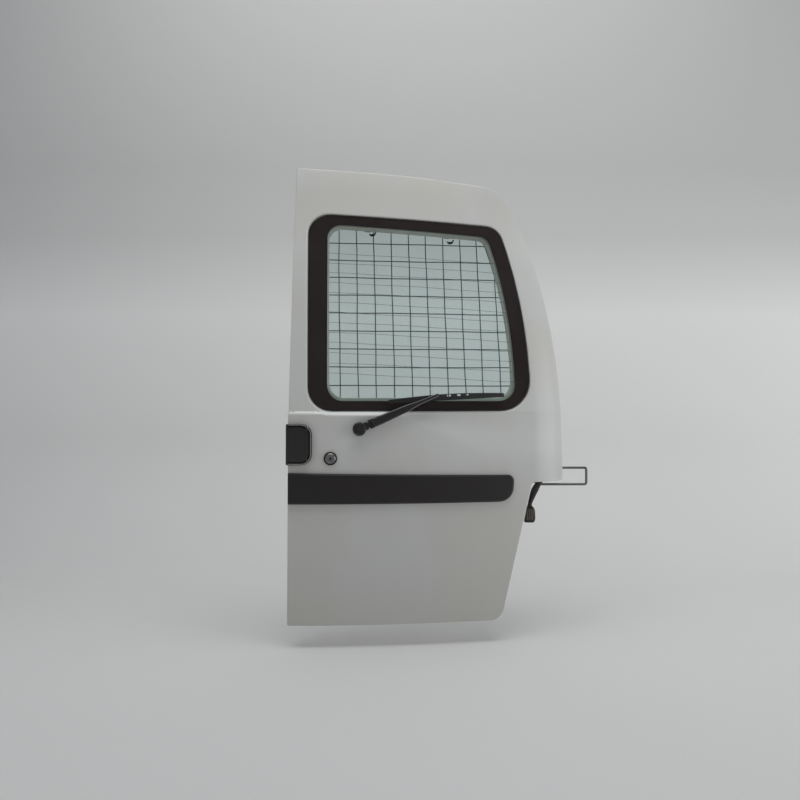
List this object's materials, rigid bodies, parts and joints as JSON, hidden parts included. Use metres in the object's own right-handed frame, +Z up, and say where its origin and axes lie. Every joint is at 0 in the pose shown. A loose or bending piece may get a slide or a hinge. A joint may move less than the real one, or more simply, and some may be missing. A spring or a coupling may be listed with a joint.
{
  "type": "vehicle rear barn door",
  "caption": "Off-white pressed steel rear door of a small camper van with bonded heated window, wire guard, wiper, pull handle, lock, rubbing strip, check stay and wiring gaiter.",
  "frame": {"origin": "middle of the upper hinge box's flat bolting face, on the door's hinge side", "axes": "+Z up the door, +X from the closing edge to the hinge side, out of the hinge face, +Y from the outer skin into the van"},
  "size_m": [0.8308, 0.2798, 1.2544],
  "materials": {
    "white_paint": "gloss off-white paint",
    "inner_paint": "thin satin off-white paint",
    "glass": "green tinted safety glass",
    "print": "black-brown printed ceramic border",
    "bond": "black adhesive bead",
    "wire": "grey coated wire",
    "strip": "grained black plastic",
    "black_plastic": "satin black plastic",
    "black_metal": "satin black paint",
    "steel": "plain steel",
    "zinc": "zinc-plated steel",
    "rubber": "dark rubber"
  },
  "bodies": {
    "leaf": {"outer_skin": "white_paint", "inner_panel": "inner_paint", "window_frame": "inner_paint", "window_glass": "glass", "window_border": "print", "window_bond": "bond", "wire_guard": "wire", "guard_clips": "black_plastic", "rubbing_strip": "strip", "handle_bezel": "black_plastic", "handle_pin": "steel", "lock_housing": "black_plastic", "latch_case": "zinc", "latch_claw": "steel", "latch_rod": "zinc", "wiper_bush": "rubber", "wiper_motor": "black_metal", "motor_bracket": "zinc", "hinge_box_upper": "zinc", "hinge_box_lower": "zinc", "stay_bracket": "zinc", "harness_grommet": "rubber", "harness_gaiter": "rubber", "harness_plug": "black_plastic"},
    "wiper_head": {"wiper_spindle": "steel", "wiper_cap": "black_plastic", "wiper_knuckle_pin": "steel"},
    "wiper_blade_arm": {"wiper_arm": "black_metal", "blade_bridge": "black_plastic", "blade_rubber": "rubber"},
    "handle": {"handle_flap": "black_plastic"},
    "lock": {"lock_plug": "steel"},
    "stay": {"check_stay": "black_metal"}
  },
  "joints": [
    {"name": "wiper_sweep", "type": "hinge", "parent": "leaf", "child": "wiper_head", "pos_m": [-0.521, -0.18983, -0.2685], "axis": [0.1118, -0.9813, 0.1564], "range_deg": [0, 80]},
    {"name": "wiper_lift", "type": "hinge", "parent": "wiper_head", "child": "wiper_blade_arm", "pos_m": [-0.48824, -0.20091, -0.25272], "axis": [0.4045, -0.0988, -0.9092], "range_deg": [0, 60]},
    {"name": "handle_pull", "type": "hinge", "parent": "leaf", "child": "handle", "pos_m": [-0.656, -0.20524, -0.30676], "axis": [0, 0.0279, 0.9996], "range_deg": [0, 25], "stiffness_Nm_per_rad": 0.6, "springref_deg": -5.73},
    {"name": "lock_turn", "type": "hinge", "parent": "leaf", "child": "lock", "pos_m": [-0.596, -0.19568, -0.344], "axis": [-0.0373, 0.9989, -0.0279], "range_deg": [0, 90]},
    {"name": "check_swing", "type": "hinge", "parent": "leaf", "child": "stay", "pos_m": [-0.044, -0.0438, -0.4055], "axis": [0, 0, 1], "range_deg": [0, 75]}
  ]
}
